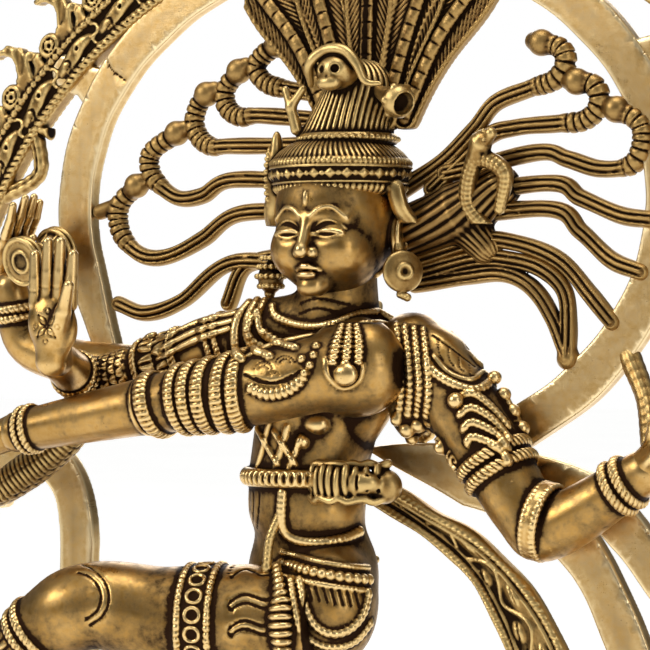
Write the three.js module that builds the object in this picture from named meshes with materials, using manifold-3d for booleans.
// Brass dancing figure (nataraja) on a lotus base, framed by an Om-shaped band and a flame arch.
// Millimetres, +Z up. The figure faces -Y. The origin is at the middle of the base's underside.
// Every casting, brazed strand and fastener is a mesh of its own, with CLEARANCE between neighbours.

import * as THREE from 'three';
import { mergeVertices } from 'three/addons/utils/BufferGeometryUtils.js';
import Module from 'manifold-3d';

const wasm = await Module();
wasm.setup();

// ---------------------------------------------------------------- driving dimensions

const CLEARANCE = 0.3; // seam left between two pieces that are brazed or bolted together

const BASE_WIDTH = 300;
const BASE_DEPTH = 150;
const PLINTH_HEIGHT = 28;
const PLINTH_STEP = 8; // how far the waist of the plinth sits back
const PLINTH_CORNER = 10;
const PLINTH_WALL = 6;
const LOTUS_HEIGHT = 32;
const LOTUS_WAIST = 9; // how far the lotus narrows between its two rows of petals

const RING_X = -8; // centre of the round upper bowl of the Om
const RING_RISE = 419.4; // its height over the lotus top
const RING_HALF_WIDTH = 136.2; // to the middle of the band
const RING_HALF_HEIGHT = 106.8;
const OM_BAND = 17;
const OM_THICKNESS = 7;
const OM_FRONT = 12; // the band's front face, as a Y

const ARCH_RADIUS = 209; // inner edge of the flame arch's round top
const ARCH_LAP = 4; // how far the arch dips over the top of the ring
const ARCH_BAND = 18;
const ARCH_THICKNESS = 9;
const FLAME_HEIGHT = 24;
const FLAME_PITCH = 27;
const LUG_RISE = 54; // height of the ties over the ring's centre
const VINE_RISE = 30;
const CRESCENT_RISE = -18;
const BRACE_HEIGHT = 358; // where the hand's brace meets the ring, over the lotus top
const CRESCENT_RADIUS = 17;
const MAKARA_WIDTH = 38;
const MAKARA_HEIGHT = 56;

const STRAND_RADIUS = 3.4; // hair strands
const BEAD_RADIUS = 4.6; // ball at the end of a strand
const HAIR_Y = 14;
const HAIR_DRAWN_WIDTH = 127.7; // the strands are drawn for a ring this wide and high inside,
const HAIR_DRAWN_HEIGHT = 98.3; // measured from its centre, and stretch with the ring
const FAN_Y = 3;
const FAN_THICKNESS = 9;

const STUD_RADIUS = 4; // main stud through the lotus and the plinth
const SCREW_RADIUS = 2.5; // one screw under each makara
const NUT_FACTOR = 1.8; // nut or head radius over its thread radius
const NUT_HEIGHT = 5;

// ---------------------------------------------------------------- worked-out places

const baseTop = PLINTH_HEIGHT + LOTUS_HEIGHT;
const ringZ = baseTop + RING_RISE;
const ringInnerWidth = RING_HALF_WIDTH - OM_BAND / 2;
const ringInnerHeight = RING_HALF_HEIGHT - OM_BAND / 2;
const ringTop = ringZ + RING_HALF_HEIGHT + OM_BAND / 2;
const archZ = ringTop - ARCH_LAP - ARCH_RADIUS; // centre of the arch's round top
const omMiddle = OM_FRONT + OM_THICKNESS / 2;
const archFront = omMiddle - ARCH_THICKNESS / 2;
const makaraX = (BASE_WIDTH - MAKARA_WIDTH) / 2 - 4;
const makaraTop = PLINTH_HEIGHT + MAKARA_HEIGHT;
const lotusHalfWidth = makaraX - MAKARA_WIDTH / 2 - 2;
const lotusHalfDepth = BASE_DEPTH / 2 - 6;

// A point of the figure: z is counted from the lotus top.
const at = (x, y, z) => new THREE.Vector3(x, y, baseTop + z);

// ---------------------------------------------------------------- solids from three.js geometry

function solid(geometry) {
  const bare = geometry.clone();
  bare.deleteAttribute('normal');
  bare.deleteAttribute('uv');
  const merged = mergeVertices(bare, 1e-4);
  const index = merged.index.array;
  const triangles = [];
  for (let i = 0; i < index.length; i += 3) {
    const [a, b, c] = [index[i], index[i + 1], index[i + 2]];
    if (a !== b && b !== c && c !== a) triangles.push(a, b, c);
  }
  return new wasm.Manifold(new wasm.Mesh({
    numProp: 3,
    vertProperties: new Float32Array(merged.attributes.position.array),
    triVerts: new Uint32Array(triangles),
  }));
}

const join = (...solids) => solids.flat().reduce((sum, next) => sum.add(next));

function ball(centre, radii, sides = 10) {
  const [rx, ry, rz] = Array.isArray(radii) ? radii : [radii, radii, radii];
  const sphere = new THREE.SphereGeometry(1, sides, Math.max(4, Math.round(sides / 2)));
  sphere.rotateX(Math.PI / 2).scale(rx, ry, rz).translate(centre.x, centre.y, centre.z);
  return solid(sphere);
}

// A round bar with ball ends, whose radius goes from startRadius to endRadius.
function capsule(start, end, startRadius, endRadius, sides = 8) {
  const length = start.distanceTo(end);
  const arcSteps = sides > 6 ? 2 : 1; // small bars get pointed ends
  const profile = [];
  for (let i = 0; i <= arcSteps; i++) {
    const angle = (Math.PI / 2) * (i / arcSteps - 1);
    const radius = i === 0 ? 0 : startRadius * Math.cos(angle);
    profile.push(new THREE.Vector2(radius, startRadius * Math.sin(angle)));
  }
  for (let i = 0; i <= arcSteps; i++) {
    const angle = (Math.PI / 2) * (i / arcSteps);
    const radius = i === arcSteps ? 0 : endRadius * Math.cos(angle);
    profile.push(new THREE.Vector2(radius, length + endRadius * Math.sin(angle)));
  }
  const bar = new THREE.LatheGeometry(profile, sides);
  const turn = new THREE.Quaternion().setFromUnitVectors(
    new THREE.Vector3(0, 1, 0), end.clone().sub(start).normalize());
  bar.applyQuaternion(turn).translate(start.x, start.y, start.z);
  return solid(bar);
}

// A limb: a round bar along a smooth curve through the joints, with a radius at each joint.
function limb(grow, joints, radii, sides = 8) {
  const curve = new THREE.CatmullRomCurve3(joints, false, 'centripetal');
  const steps = 3 * (joints.length - 1);
  const thread = new THREE.ExtrudeGeometry(circleShape(1, sides), {
    steps, extrudePath: curve, bevelEnabled: false,
  });
  const spine = curve.getSpacedPoints(steps);
  const reach = [0]; // distance from the first joint to each joint
  for (let i = 1; i < joints.length; i++) {
    reach.push(reach[i - 1] + joints[i].distanceTo(joints[i - 1]));
  }
  const radiusAt = (share) => {
    const distance = share * reach[reach.length - 1];
    const i = Math.max(1, reach.findIndex((value) => value >= distance - 1e-6));
    const mix = (distance - reach[i - 1]) / (reach[i] - reach[i - 1]);
    return THREE.MathUtils.lerp(radii[i - 1], radii[i], mix) + grow;
  };
  // The thread is 1 mm in radius, so each of its corners is nearest to its own spine point.
  const corners = thread.attributes.position;
  const corner = new THREE.Vector3();
  for (let i = 0; i < corners.count; i++) {
    corner.fromBufferAttribute(corners, i);
    let nearest = 0;
    for (let k = 1; k <= steps; k++) {
      if (corner.distanceTo(spine[k]) < corner.distanceTo(spine[nearest])) nearest = k;
    }
    corner.sub(spine[nearest]).multiplyScalar(radiusAt(nearest / steps)).add(spine[nearest]);
    corners.setXYZ(i, corner.x, corner.y, corner.z);
  }
  return solid(thread);
}

function circleShape(radius, sides) {
  const shape = new THREE.Shape();
  for (let i = 0; i < sides; i++) {
    const angle = (2 * Math.PI * i) / sides;
    const [x, y] = [radius * Math.cos(angle), radius * Math.sin(angle)];
    if (i === 0) shape.moveTo(x, y);
    else shape.lineTo(x, y);
  }
  return shape.closePath();
}

// A round strand along a smooth curve through the points.
function strand(points, radius, steps, sides = 5) {
  const curve = new THREE.CatmullRomCurve3(points, false, 'centripetal');
  return solid(new THREE.ExtrudeGeometry(circleShape(radius, sides), {
    steps, extrudePath: curve, bevelEnabled: false,
  }));
}

// A flat plate: an outline in X and Z, from its front face at `front` back through `thickness`.
function plate(outline, front, thickness) {
  const shape = new THREE.Shape(outline.map(([x, z]) => new THREE.Vector2(x, z)));
  const slab = new THREE.ExtrudeGeometry(shape, { depth: thickness, bevelEnabled: false, steps: 1 });
  slab.rotateX(Math.PI / 2).translate(0, front + thickness, 0);
  return solid(slab);
}

// The outline of a flat band: a centre line in X and Z, with a half width at each place on it.
function bandOutline(points, halfWidthAt, steps) {
  const curve = new THREE.SplineCurve(points.map(([x, z]) => new THREE.Vector2(x, z)));
  const [near, far] = [[], []];
  for (let i = 0; i <= steps; i++) {
    const t = i / steps;
    const place = curve.getPoint(t);
    const along = curve.getTangent(t);
    const half = halfWidthAt(t);
    near.push([place.x - along.y * half, place.y + along.x * half]);
    far.unshift([place.x + along.y * half, place.y - along.x * half]);
  }
  return [...near, ...far];
}

function roundedRectangle(width, depth, corner) {
  const [x, y] = [width / 2 - corner, depth / 2 - corner];
  const shape = new THREE.Shape();
  shape.absarc(x, y, corner, 0, Math.PI / 2);
  shape.absarc(-x, y, corner, Math.PI / 2, Math.PI);
  shape.absarc(-x, -y, corner, Math.PI, 1.5 * Math.PI);
  shape.absarc(x, -y, corner, 1.5 * Math.PI, 2 * Math.PI);
  return shape.closePath();
}

function slab(width, depth, corner, bottom, height) {
  const block = new THREE.ExtrudeGeometry(roundedRectangle(width, depth, corner), {
    depth: height, bevelEnabled: false, steps: 1, curveSegments: 2,
  });
  return solid(block.translate(0, 0, bottom));
}

// An upright turned piece. The profile is [radius, z] from its lowest to its highest point.
function turned(profile, x, y, sides, scaleY = 1) {
  const lathe = new THREE.LatheGeometry(profile.map(([r, z]) => new THREE.Vector2(r, z)), sides);
  lathe.rotateX(Math.PI / 2).scale(1, scaleY, 1).translate(x, y, 0);
  return solid(lathe);
}

// ---------------------------------------------------------------- base and fasteners

function basePlinth(grow) {
  const third = PLINTH_HEIGHT / 3;
  const layer = (inset, bottom, height) => slab(
    BASE_WIDTH - 2 * inset + 2 * grow, BASE_DEPTH - 2 * inset + 2 * grow,
    PLINTH_CORNER, bottom - grow, height + 2 * grow);
  const body = join(
    layer(0, 0, third), layer(PLINTH_STEP, 0, PLINTH_HEIGHT), layer(2, 2 * third, third));
  const inset = PLINTH_STEP + PLINTH_WALL;
  const pocket = slab(BASE_WIDTH - 2 * inset, BASE_DEPTH - 2 * inset, PLINTH_CORNER / 2,
    -1, PLINTH_HEIGHT - PLINTH_WALL + 1);
  return grow > 0 ? body : body.subtract(pocket);
}

// Two rows of petals, seen here as an oval body with a waist.
function lotusPedestal(grow) {
  const half = lotusHalfWidth + grow;
  const foot = PLINTH_HEIGHT - grow;
  const top = baseTop + grow;
  const profile = [
    [0, foot], [half, foot], [half, foot + 4], [half - LOTUS_WAIST * 0.4, foot + 10],
    [half - LOTUS_WAIST, PLINTH_HEIGHT + LOTUS_HEIGHT / 2], [half - LOTUS_WAIST * 0.3, top - 8],
    [half - 1, top - 3], [half - 3, top], [0, top],
  ];
  return turned(profile, 0, 0, 22, (lotusHalfDepth + grow) / half);
}

// A round shank with a six-sided head or nut at its lower end.
function bolt(grow, x, y, radius, bottom, top) {
  const headRadius = radius * NUT_FACTOR + grow;
  const head = [[0, bottom - grow], [headRadius, bottom - grow],
    [headRadius, bottom + NUT_HEIGHT + grow], [0, bottom + NUT_HEIGHT + grow]];
  const shankRadius = radius + grow;
  const shank = [[0, bottom], [shankRadius, bottom], [shankRadius, top + grow], [0, top + grow]];
  return join(turned(head, x, y, 6), turned(shank, x, y, 14));
}

const plinthCeiling = PLINTH_HEIGHT - PLINTH_WALL;
const nutBottom = plinthCeiling - NUT_HEIGHT - CLEARANCE;

const baseNut = (grow) => turned([
  [0, nutBottom - grow], [STUD_RADIUS * NUT_FACTOR + grow, nutBottom - grow],
  [STUD_RADIUS * NUT_FACTOR + grow, plinthCeiling - CLEARANCE + grow],
  [0, plinthCeiling - CLEARANCE + grow]], 0, 0, 6);

const baseStud = (grow) => turned([
  [0, nutBottom - 4 - grow], [STUD_RADIUS + grow, nutBottom - 4 - grow],
  [STUD_RADIUS + grow, baseTop - 6 + grow], [0, baseTop - 6 + grow]], 0, 0, 14);

const archScrew = (grow, side) => bolt(grow, side * makaraX, omMiddle, SCREW_RADIUS,
  nutBottom, PLINTH_HEIGHT + 16);

// ---------------------------------------------------------------- the figure

const HEAD = at(-6.5, -4, 411);
const NECK = at(-7, 3, 372);
const CHEST = at(-13, 0, 346);
const WAIST = at(-22, 0, 312);
const HIPS = at(-19, 0, 270);

function torso(grow) {
  return join(
    ball(CHEST, [31 + grow, 20 + grow, 25 + grow], 10),
    ball(at(-13, 0, 363), [44 + grow, 15 + grow, 13 + grow], 8),
    capsule(at(-16, 0, 372), at(-38, -4, 367), 12 + grow, 14 + grow, 8),
    ball(at(8, -12, 354), [20 + grow, 16 + grow, 20 + grow], 10),
    capsule(CHEST, WAIST, 25 + grow, 23 + grow, 8),
    ball(HIPS, [29 + grow, 20 + grow, 30 + grow], 10),
    ball(at(-3, -12, 260), [19 + grow, 20 + grow, 24 + grow], 10),
    capsule(WAIST, HIPS, 23 + grow, 20 + grow, 8),
    capsule(NECK, at(-7, -1, 386), 18 + grow, 16 + grow, 10),
  );
}

function head(grow) {
  return join(
    ball(HEAD, [26 + grow, 27 + grow, 30 + grow], 10),
    ball(at(-6.5, -26, 396), [12 + grow, 7 + grow, 12 + grow], 10),
    ball(at(-33, -1, 406), [3.5 + grow, 6 + grow, 13 + grow], 8),
    ball(at(20, -1, 406), [3.5 + grow, 6 + grow, 13 + grow], 8),
  );
}

// The headband, the knot of hair over it and the small ornaments in it.
function headdress(grow) {
  const band = ball(at(-6.5, 0, 428), [30 + grow, 29 + grow, 13 + grow], 10);
  const knot = capsule(at(-6.5, 4, 438), at(2, 4, 462), 20 + grow, 16 + grow, 10);
  const leaf = ball(at(-35, 0, 428), [7 + grow, 7 + grow, 16 + grow], 8);
  const skull = ball(at(0, -11, 470), [9 + grow, 8 + grow, 8 + grow], 8);
  const bell = ball(at(22, -6, 458), [9 + grow, 7 + grow, 7 + grow], 8);
  return join(band, knot, leaf, skull, bell);
}

// Five feathers spread from the top of the head.
function featherFan(grow) {
  const [tops, footZ, topZ] = [[-46, -22, 5, 32, 53], 452, 508];
  const feathers = tops.map((x, i) => {
    const crown = topZ + 14 * Math.sin((Math.PI * (i + 0.5)) / tops.length);
    const root = [-14 + 8.5 * i, baseTop + footZ];
    const path = [root, [0.45 * x + 0.55 * root[0], baseTop + footZ + 30], [x, baseTop + crown]];
    const halfWidth = (t) => 6 + 8 * Math.sin(Math.PI * 0.93 * t) * t + grow;
    return plate(bandOutline(path, halfWidth, 6), FAN_Y - grow, FAN_THICKNESS + 2 * grow);
  });
  return join(feathers);
}

const earring = (grow, x, y, z) => join(
  capsule(at(x, y, z + 8), at(x, y, z), 4 + grow, 7.5 + grow, 10),
  ball(at(x, y, z - 3), [6.5 + grow, 6 + grow, 7 + grow], 10));

function standingLeg(grow) {
  return join(
    limb(grow, [at(-32, 0, 250), at(-58, -24, 150), at(-34, -4, 58), at(-31, -4, 44)],
      [24, 16, 10, 9], 8),
    limb(grow, [at(-31, 0, 40), at(-46, -30, 37)], [8, 7], 6),
  );
}

function raisedLeg(grow) {
  return join(
    limb(grow, [at(-16, -14, 252), at(-66, -30, 253), at(-108, -44, 254), at(-163, -46, 204)],
      [25, 21, 16, 10], 8),
    limb(grow, [at(-164, -46, 200), at(-194, -50, 206)], [9, 6], 6),
  );
}

// A palm, four fingers and a thumb. Fingers run from the palm along `reach`, side by side
// along `spread`; the thumb leaves along `thumb`.
function hand(grow, palm, reach, spread, thumb, size = 1) {
  const [fingerRadius, knuckle, length] = [2.3 * size, 9 * size, 23 * size];
  const place = (alongReach, alongSpread) => palm.clone()
    .addScaledVector(reach, alongReach).addScaledVector(spread, alongSpread);
  const fingers = [-1.5, -0.5, 0.5, 1.5].map((k) => capsule(
    place(knuckle * 0.7, k * 4.6 * size), place(knuckle + length - 2.2 * k * k, k * 4.8 * size),
    fingerRadius + grow, fingerRadius * 0.8 + grow, 5));
  const thumbTip = place(6 * size, 0).addScaledVector(thumb, 15 * size);
  return join(
    capsule(place(-knuckle, 0), place(knuckle * 0.6, 0), 6.2 * size + grow, 7.4 * size + grow, 6),
    capsule(place(-3 * size, 5 * size), place(4 * size, 4 * size), 5 * size + grow, 4 * size + grow, 6),
    fingers,
    capsule(place(-3 * size, 0), thumbTip, 3 * size + grow, 2.4 * size + grow, 6),
  );
}

const frontLeftArm = (grow) => limb(grow,
  [at(16, -12, 354), at(-2, -24, 351), at(-34, -30, 344), at(-68, -33, 339), at(-140, -34, 326)],
  [16, 15, 15, 13, 8.5], 8);
const frontLeftHand = (grow) => hand(grow, at(-153, -35, 322),
  new THREE.Vector3(-0.9, -0.1, -0.42), new THREE.Vector3(0.2, -0.9, 0.3),
  new THREE.Vector3(-0.4, -0.3, -0.85));

const frontRightArm = (grow) => limb(grow,
  [at(-38, -4, 368), at(-80, -8, 356), at(-117, -12, 347), at(-115, -42, 356)],
  [14, 11, 9.5, 8.5], 8);
const blessingHand = (grow) => hand(grow, at(-111, -50, 370),
  new THREE.Vector3(0.08, -0.08, 0.99), new THREE.Vector3(0.98, 0.16, 0),
  new THREE.Vector3(0.5, -0.45, 0.6), 1.12);

const backRightArm = (grow) => limb(grow,
  [at(-48, 6, 360), at(-105, 5, 352), at(-158, 2, 360), at(-167, -2, 386)], [12, 10, 9.5, 7.5], 8);
const drumHand = (grow) => hand(grow, at(-166, -3, 404),
  new THREE.Vector3(0.66, -0.3, 0.69), new THREE.Vector3(0.3, 0.95, 0.12),
  new THREE.Vector3(0.9, -0.4, -0.2), 0.9);

// A small two-headed drum with a narrow waist, one head to the front.
function drum(grow) {
  const [half, radius, waist] = [12 + grow, 10.5 + grow, 5 + grow];
  const profile = [[0, -half], [radius, -half], [radius, 3 - half], [waist, 0],
    [radius, half - 3], [radius, half], [0, half]].map(([r, z]) => new THREE.Vector2(r, z));
  const body = new THREE.LatheGeometry(profile, 14);
  const centre = at(-147, -9, 399);
  body.rotateX(Math.PI / 2).rotateX(1.8).rotateZ(-0.16).translate(centre.x, centre.y, centre.z);
  return solid(body);
}

const backLeftArm = (grow) => join(
  limb(grow, [at(24, 4, 360), at(50, 0, 336), at(76, -2, 298), at(88, -2, 292), at(124, -3, 314)],
    [16, 16, 13, 13, 9], 8),
  ball(at(34, 1, 352), [17 + grow, 13 + grow, 18 + grow], 8),
  ball(at(26, 1, 343), [11 + grow, 11 + grow, 20 + grow], 8));
const flameHand = (grow) => hand(grow, at(135, -5, 325),
  new THREE.Vector3(0.72, -0.2, 0.66), new THREE.Vector3(0.2, -0.95, -0.1),
  new THREE.Vector3(-0.3, -0.5, 0.8), 0.9);

// Three tongues of fire standing in the hand.
function flame(grow) {
  const tongue = (x, tipX, height, radius) => capsule(
    at(x, -9, 341), at(tipX, -9, 341 + height), radius + grow, 1.5 + grow, 8);
  return join(tongue(144, 146, 34, 6), tongue(138, 135, 22, 5), tongue(150, 156, 23, 5));
}

// ---------------------------------------------------------------- dress, snakes and dwarf

// The free end of the waist cloth, blown out to the side.
function waistSash(grow) {
  const path = [[-4, 307], [8, 304], [30, 293], [53, 279], [70, 260], [81, 240], [89, 212],
    [91, 180], [86, 148], [76, 122]];
  const halfWidth = (t) => 5.5 + 7 * Math.sin(1.06 * Math.PI * Math.max(0, t - 0.15)) ** 2 + grow;
  const centre = path.map(([x, z]) => [x, baseTop + z]);
  return plate(bandOutline(centre, halfWidth, 22), -1 - grow, 8 + 2 * grow);
}

const sashKnot = (grow) => join(
  ball(at(1, -19, 309), [20 + grow, 8 + grow, 8 + grow], 10),
  capsule(at(-17, -20, 306), at(-25, -25, 278), 4 + grow, 3.5 + grow, 8),
  capsule(at(-25, -25, 278), at(-26, -29, 246), 3.5 + grow, 5.5 + grow, 8));

const armCobra = (grow) => limb(grow,
  [at(-116, -12, 338), at(-130, -12, 322), at(-149, -14, 309), at(-166, -18, 300),
    at(-172, -22, 312)],
  [4, 6, 8, 7, 5], 6);

const hairCobra = (grow) => join(
  strand([at(56, 8, 406), at(48, 6, 420), at(53, 4, 436), at(66, 4, 428), at(62, 6, 414)],
    3 + grow, 12),
  capsule(at(52, 4, 434), at(60, 0, 444), 4 + grow, 3 + grow, 8));

// The defeated dwarf lies under the standing foot, face to the side.
function dwarfBody(grow) {
  return join(
    limb(grow, [at(-34, 4, 16), at(4, 6, 17), at(40, 4, 15)], [15, 15, 13], 8),
    limb(grow, [at(36, -6, 14), at(72, -14, 10), at(62, -30, 7)], [10, 8, 6], 6),
    limb(grow, [at(38, 10, 12), at(78, 12, 8)], [9, 6.5], 6),
    limb(grow, [at(-40, -8, 16), at(-62, -30, 10), at(-40, -40, 7)], [7, 6, 5], 6),
    limb(grow, [at(-36, 14, 16), at(-62, 26, 8)], [7, 5.5], 6),
  ).subtract(slab(BASE_WIDTH, BASE_DEPTH, 1, baseTop - 20, 20 + (grow > 0 ? 0 : CLEARANCE)));
}
const dwarfHead = (grow) => ball(at(-66, -2, 19), [15 + grow, 13 + grow, 14 + grow], 12);

// ---------------------------------------------------------------- Om band

function ringPoint(degrees) {
  const angle = THREE.MathUtils.degToRad(degrees);
  return [RING_X + RING_HALF_WIDTH * Math.cos(angle), ringZ + RING_HALF_HEIGHT * Math.sin(angle)];
}

// From the tapered end at the lower left, over the top and down to the cusp on the right.
function omUpperBowl(grow) {
  const round = [];
  for (let degrees = 188; degrees >= -57; degrees -= 12.25) round.push(ringPoint(degrees));
  const path = [[RING_X - 115, ringZ - 73], [RING_X - 124, ringZ - 50], ...round];
  const halfWidth = (t) => OM_BAND / 2 * Math.min(1, 0.45 + 7 * t) + grow;
  return plate(bandOutline(path, halfWidth, 36), OM_FRONT - grow, OM_THICKNESS + 2 * grow);
}

// From the cusp's pointed tip, round the lower bowl, up the left side to the curled end.
function omLowerBowl(grow) {
  const floor = OM_BAND / 2 + 1;
  const path = [[0, 320], [22, 316], [48, 310], [72, 300], [92, 283], [106, 260], [119, 225],
    [123, 180], [112, 118], [84, 60], [42, 24], [-6, floor], [-56, 22], [-100, 58], [-130, 118],
    [-142, 190], [-144, 250], [-144, 284], [-150, 304], [-165, 315], [-181, 308], [-184, 294]];
  const swell = (t) => {
    if (t < 0.09) return 1 + 130 * t;
    if (t < 0.2) return 12.7 - 38 * (t - 0.09);
    return t > 0.95 ? OM_BAND / 2 * (1 - 11 * (t - 0.95)) : OM_BAND / 2;
  };
  const centre = path.map(([x, z]) => [x, baseTop + z]);
  return plate(bandOutline(centre, (t) => swell(t) + grow, 44),
    OM_FRONT - grow, OM_THICKNESS + 2 * grow);
}

function omTail(grow) {
  const path = [[70, 312], [96, 304], [113, 289], [136, 262], [160, 250], [179, 258], [185, 282],
    [180, 306]];
  const centre = path.map(([x, z]) => [x, baseTop + z]);
  const halfWidth = (t) => OM_BAND / 2 * Math.min(1, 1.25 - 0.9 * t) + grow;
  return plate(bandOutline(centre, halfWidth, 20), OM_FRONT - grow, OM_THICKNESS + 2 * grow);
}

const bar = (grow, from, to, radius) => capsule(
  new THREE.Vector3(from[0], omMiddle, from[1]), new THREE.Vector3(to[0], omMiddle, to[1]),
  radius + grow, radius + grow, 6);

// ---------------------------------------------------------------- hair

// Each strand leaves the head, swings out and ends in a ball or on the Om band.
const STRANDS = {
  hair_left_1: { path: [[-22, 392], [-64, 396], [-91, 380], [-108, 375], [-122, 379]] },
  hair_left_2: { path: [[-22, 416], [-61, 416], [-80, 406], [-97, 399], [-109, 399], [-119, 406],
    [-123, 415], [-121, 423], [-115, 428]], holder: 'hair_left_3' },
  hair_left_3: { path: [[-24, 428], [-65, 430], [-80, 424], [-92, 423], [-101, 428], [-106, 434],
    [-105, 443], [-98, 449]], holder: 'hair_left_4' },
  hair_left_4: { path: [[-24, 443], [-65, 444], [-75, 444], [-82, 448], [-85, 455], [-82, 463],
    [-76, 467]], holder: 'hair_left_5' },
  hair_left_5: { path: [[-10, 452], [-50, 456], [-62, 456], [-69, 461], [-69, 469], [-63, 476]],
    holder: 'hair_left_6' },
  hair_left_6: { path: [[-8, 461], [-42, 467], [-51, 471], [-54, 477], [-48, 483], [-41, 485]],
    ball: true },
  hair_left_short: { path: [[-42, 398], [-60, 394], [-67, 379]] },
  hair_right_1: { path: [[14, 424], [34, 436], [47, 447], [56, 457], [70, 462], [81, 465], [86, 471],
    [84, 477], [74, 480]], ball: true },
  hair_right_2: { path: [[28, 424], [51, 443], [65, 447], [83, 448], [94, 449], [100, 455],
    [98, 462], [88, 465]], holder: 'hair_right_1' },
  hair_right_3: { path: [[34, 430], [74, 437], [87, 434], [100, 430], [113, 431], [118, 438],
    [117, 447], [107, 453]], holder: 'hair_right_2' },
  hair_right_4: { path: [[28, 420], [79, 425], [92, 419], [109, 412], [122, 410]] },
  hair_right_5: { path: [[28, 412], [79, 415], [92, 406], [105, 395], [118, 390]] },
  hair_right_6: { path: [[20, 396], [47, 403], [65, 402], [83, 395], [96, 382],
    [106, 371]] },
  hair_right_7: { path: [[20, 390], [47, 396], [65, 395], [77, 391], [85, 383], [87, 370],
    [87, 357]], fork: [[20, 386], [43, 389], [59, 390], [71, 385], [80, 373], [87, 359]] },
};

// The thick root of the hair behind the head on each side, which the strands grow out of.
const hairRoot = (grow) => join(
  limb(grow, [at(14, 12, 406), at(40, 13, 414), at(58, 13, 424)], [10, 13, 9], 8),
  limb(grow, [at(40, 13, 414), at(52, 13, 400)], [10, 7], 8));

const strandPoints = (path) => path.map(([x, z]) => new THREE.Vector3(
  RING_X + (x - RING_X) * ringInnerWidth / HAIR_DRAWN_WIDTH, HAIR_Y,
  ringZ + (z - RING_RISE) * ringInnerHeight / HAIR_DRAWN_HEIGHT));

// A ball end is moved along its own direction until it rests on the strand that holds it.
function ballPlace(points, holder) {
  const last = points[points.length - 1];
  const others = new THREE.CatmullRomCurve3(
    strandPoints(STRANDS[holder].path), false, 'centripetal').getPoints(60);
  const nearest = others.reduce((a, b) => (b.distanceTo(last) < a.distanceTo(last) ? b : a));
  return last.clone().sub(nearest).setLength(STRAND_RADIUS + 0.7 * BEAD_RADIUS).add(nearest);
}

function hairStrand(grow, name) {
  const { path, holder, fork } = STRANDS[name];
  const points = strandPoints(path);
  if (holder) points[points.length - 1] = ballPlace(points, holder);
  const tube = strand(points, STRAND_RADIUS + grow, Math.round(1.6 * points.length));
  if (fork) return tube.add(strand(strandPoints(fork), STRAND_RADIUS + grow, 10));
  if (!holder && !STRANDS[name].ball) return tube;
  return join(tube, ball(points[points.length - 1], BEAD_RADIUS + grow, 6));
}

// ---------------------------------------------------------------- flame arch

// Centre line of the arch's inner edge on one side: 0 at the makara, 1 at the crown.
const legLength = archZ - makaraTop;
const roundLength = (Math.PI / 2) * ARCH_RADIUS;
const legShare = legLength / (legLength + roundLength);

function archEdge(side, share, out) {
  if (share < legShare) {
    const rise = share / legShare;
    const lean = Math.PI / 2 * rise;
    const x = makaraX - ARCH_BAND / 2 + (ARCH_RADIUS - makaraX + ARCH_BAND / 2) * Math.sin(lean);
    return [side * (x + out), makaraTop + legLength * rise - out * 0.25 * Math.cos(lean)];
  }
  const angle = (Math.PI / 2) * ((share - legShare) / (1 - legShare));
  const radius = ARCH_RADIUS + out;
  return [side * radius * Math.cos(angle), archZ + radius * Math.sin(angle)];
}

function archHalf(grow, side) {
  const flameCount = Math.round((legLength + roundLength) / FLAME_PITCH);
  const crown = 0.985;
  const inner = [];
  const steps = 24;
  for (let i = 0; i <= steps; i++) inner.push(archEdge(side, crown * i / steps, -grow));
  const outer = [];
  const flameStart = 0.02;
  const pitch = (crown - flameStart) / flameCount;
  outer.unshift(archEdge(side, 0, ARCH_BAND + grow));
  for (let i = 0; i < flameCount; i++) {
    const start = flameStart + i * pitch;
    outer.unshift(archEdge(side, start, ARCH_BAND + grow));
    outer.unshift(archEdge(side, start + 0.3 * pitch, ARCH_BAND + 0.6 * FLAME_HEIGHT + grow));
    outer.unshift(archEdge(side, start + 0.65 * pitch, ARCH_BAND + FLAME_HEIGHT + grow));
  }
  outer.unshift(archEdge(side, crown, ARCH_BAND + grow));
  return plate([...inner, ...outer], archFront - grow, ARCH_THICKNESS + 2 * grow);
}

// A sea creature stands on each end of the plinth and holds an end of the arch in its mouth.
function makara(grow, side) {
  const foot = PLINTH_HEIGHT;
  const place = (dx, y, z) => new THREE.Vector3(
    side * (makaraX + dx), omMiddle + y, foot + z * MAKARA_HEIGHT);
  const half = MAKARA_WIDTH / 2;
  return join(
    ball(place(0, 0, 0.26), [half - 3 + grow, 14 + grow, 0.27 * MAKARA_HEIGHT + grow], 10),
    limb(grow, [place(2, 0, 0.3), place(1, 0, 0.7), place(-6, 0, 1)], [13, 12, 10]),
    capsule(place(-4, -6, 0.62), place(-half + 3, -14, 0.5), 9 + grow, 5 + grow),
  ).subtract(slab(BASE_WIDTH, BASE_DEPTH, 1, foot - 20, 20 + (grow > 0 ? 0 : CLEARANCE)));
}

// A plain lion-like mask at the crown, over the seam of the two halves of the arch.
function archCrest(grow) {
  const z = archZ + ARCH_RADIUS + ARCH_BAND * 0.6;
  const place = (x, y, dz) => new THREE.Vector3(x, archFront + y, z + dz);
  const horn = (x, tipX, tip) => capsule(place(x, 0, 9), place(tipX, 0, tip), 6 + grow, 3 + grow, 6);
  return join(
    ball(place(0, -1, 2), [17 + grow, 12 + grow, 16 + grow], 10),
    ball(place(0, -9, -7), [10 + grow, 7 + grow, 6 + grow], 8),
    horn(-9, -21, 20), horn(9, 21, 20), horn(0, 0, 31),
  );
}

// How far out the ring's outer edge and the arch's inner edge are, at a height over the ring's centre.
function ringEdgeX(side, rise) {
  const reach = RING_HALF_WIDTH * Math.sqrt(1 - (rise / RING_HALF_HEIGHT) ** 2);
  return RING_X + side * (reach + OM_BAND / 2);
}
function archEdgeX(side, rise) {
  return side * Math.sqrt(ARCH_RADIUS ** 2 - (ringZ + rise - archZ) ** 2);
}

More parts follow.
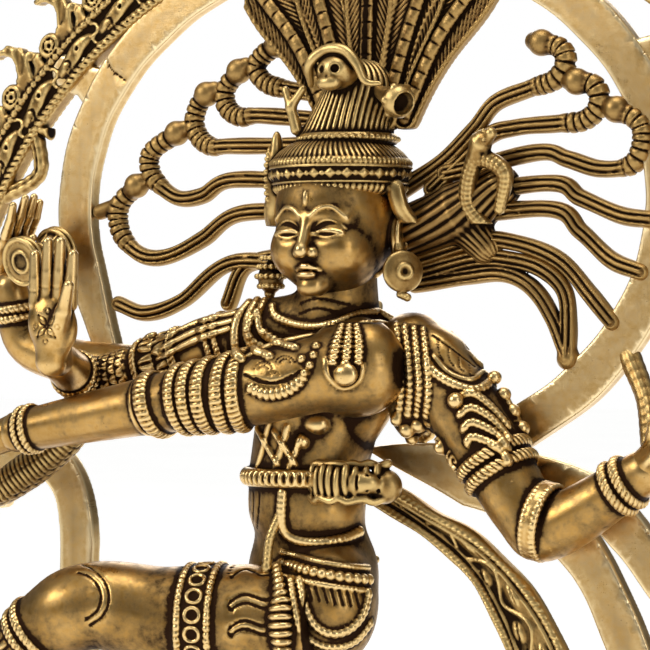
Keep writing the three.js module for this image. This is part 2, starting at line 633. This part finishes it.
// The crescent and the dot of the Om stand in the gap between the ring and the arch, on the right.
function crescentPlace() {
  return [(ringEdgeX(1, CRESCENT_RISE) + archEdgeX(1, CRESCENT_RISE)) / 2, ringZ + CRESCENT_RISE];
}
function omCrescent(grow) {
  const [x, z] = crescentPlace();
  const points = [-150, -105, -60, -15, 30, 75].map((degrees) => {
    const angle = THREE.MathUtils.degToRad(degrees);
    return [x + CRESCENT_RADIUS * Math.cos(angle), z + CRESCENT_RADIUS * Math.sin(angle)];
  });
  const halfWidth = (t) => 1.5 + 4 * Math.sin(Math.PI * t) + grow;
  const moon = plate(bandOutline(points, halfWidth, 14), OM_FRONT - grow, OM_THICKNESS + 2 * grow);
  const low = [x, z - CRESCENT_RADIUS];
  const high = [x + CRESCENT_RADIUS, z];
  return join(moon, bar(grow, [ringEdgeX(1, CRESCENT_RISE) - 3, low[1] + 2], low, 3),
    bar(grow, high, [archEdgeX(1, CRESCENT_RISE) + 4, high[1]], 3));
}
function omBindu(grow) {
  const [x, z] = crescentPlace();
  return join(
    ball(new THREE.Vector3(x - 3, omMiddle, z + 2), [6.5 + grow, 4 + grow, 6.5 + grow]),
    bar(grow, [x - 3, z + 2], [x + 9, z - 8], 2.5));
}

// Short ties between the ring and the arch: a flat lug, and a thin vine that bends on its way.
function lug(grow, side) {
  const [start, end] = [ringEdgeX(side, LUG_RISE) - side * 4, archEdgeX(side, LUG_RISE) + side * 8];
  return bar(grow, [start, ringZ + LUG_RISE - 4], [end, ringZ + LUG_RISE + 6], 7);
}
function vine(grow, side) {
  const drop = 24;
  const start = ringEdgeX(side, VINE_RISE) - side * 3;
  const end = archEdgeX(side, VINE_RISE - drop) + side * 4;
  const z = ringZ + VINE_RISE;
  const middle = (start + end) / 2;
  const points = [[start, z - 4], [middle, z + 6], [middle, z - 14], [end, z - drop]]
    .map(([x, height]) => new THREE.Vector3(x, omMiddle, height));
  return join(limb(grow, points, [3.5, 3.5, 3, 3], 6), ball(points[0], [6 + grow, 5 + grow, 7 + grow], 8));
}

// A bent rod that braces the hand with the flame to the ring.
const handBrace = (grow) => limb(grow,
  [at(ringEdgeX(1, BRACE_HEIGHT - RING_RISE), omMiddle, BRACE_HEIGHT), at(121, 10, 342),
    at(127, 1, 326)], [4, 3.5, 3.5], 6);

// ---------------------------------------------------------------- pieces, in order of cutting

const FINISH = {
  figure: { color: 0xb8914f, roughness: 0.32, metalness: 1 },
  band: { color: 0xc9a462, roughness: 0.26, metalness: 1 },
  ornament: { color: 0x8f6f3a, roughness: 0.42, metalness: 1 },
  steel: { color: 0x8c8a84, roughness: 0.45, metalness: 1 },
};

// An earlier piece keeps its shape where two meet; a later one is cut back to clear it.
const PIECES = [
  ['base_nut', 'steel', baseNut],
  ['base_stud', 'steel', baseStud],
  ['arch_screw_left', 'steel', (grow) => archScrew(grow, -1)],
  ['arch_screw_right', 'steel', (grow) => archScrew(grow, 1)],
  ['base_plinth', 'ornament', basePlinth],
  ['lotus_pedestal', 'ornament', lotusPedestal],
  ['dwarf_body', 'figure', dwarfBody],
  ['dwarf_head', 'figure', dwarfHead],
  ['torso', 'figure', torso],
  ['head', 'figure', head],
  ['headdress', 'ornament', headdress],
  ['feather_fan', 'ornament', featherFan],
  ['earring_left', 'ornament', (grow) => earring(grow, 24, -2, 391)],
  ['earring_right', 'ornament', (grow) => earring(grow, -37, -2, 390)],
  ['standing_leg', 'figure', standingLeg],
  ['raised_leg', 'figure', raisedLeg],
  ['front_left_arm', 'figure', frontLeftArm],
  ['front_left_hand', 'figure', frontLeftHand],
  ['front_right_arm', 'figure', frontRightArm],
  ['blessing_hand', 'figure', blessingHand],
  ['back_right_arm', 'figure', backRightArm],
  ['drum', 'ornament', drum],
  ['drum_hand', 'figure', drumHand],
  ['back_left_arm', 'figure', backLeftArm],
  ['flame', 'ornament', flame],
  ['flame_hand', 'figure', flameHand],
  ['waist_sash', 'ornament', waistSash],
  ['sash_knot', 'ornament', sashKnot],
  ['arm_cobra', 'ornament', armCobra],
  ['om_lower_bowl', 'band', omLowerBowl],
  ['om_upper_bowl', 'band', omUpperBowl],
  ['om_tail', 'band', omTail],
  ['om_crescent', 'band', omCrescent],
  ['om_bindu', 'band', omBindu],
  ['hand_brace', 'ornament', handBrace],
  ['hair_root', 'ornament', hairRoot],
  ['hair_cobra', 'ornament', hairCobra],
  ...Object.keys(STRANDS).map((name) => [
    name, 'ornament', (grow) => hairStrand(grow, name)]),
  ['makara_left', 'ornament', (grow) => makara(grow, -1)],
  ['makara_right', 'ornament', (grow) => makara(grow, 1)],
  ['arch_crest', 'ornament', archCrest],
  ['arch_left', 'ornament', (grow) => archHalf(grow, -1)],
  ['arch_right', 'ornament', (grow) => archHalf(grow, 1)],
  ['lug_left', 'band', (grow) => lug(grow, -1)],
  ['lug_right', 'band', (grow) => lug(grow, 1)],
  ['vine_left', 'ornament', (grow) => vine(grow, -1)],
  ['vine_right', 'ornament', (grow) => vine(grow, 1)],
];

function largestBody(shape) {
  const bodies = shape.decompose();
  return bodies.reduce((best, body) => (body.volume() > best.volume() ? body : best));
}

function boxesMeet(a, b) {
  return [0, 1, 2].every((i) => a.min[i] <= b.max[i] && b.min[i] <= a.max[i]);
}

function meshOf(name, finish, shape) {
  const { vertProperties, triVerts } = shape.getMesh();
  const geometry = new THREE.BufferGeometry();
  geometry.setAttribute('position', new THREE.BufferAttribute(vertProperties, 3));
  geometry.setIndex(new THREE.BufferAttribute(triVerts, 1));
  geometry.computeVertexNormals();
  const mesh = new THREE.Mesh(geometry, new THREE.MeshStandardMaterial(FINISH[finish]));
  mesh.name = name;
  return mesh;
}

const statue = new THREE.Group();
const cutters = [];
for (const [name, finish, make] of PIECES) {
  let shape = make(0);
  for (const cutter of cutters) {
    if (boxesMeet(shape.boundingBox(), cutter.boundingBox())) shape = shape.subtract(cutter);
  }
  statue.add(meshOf(name, finish, largestBody(shape)));
  cutters.push(make(CLEARANCE));
}

export default statue;
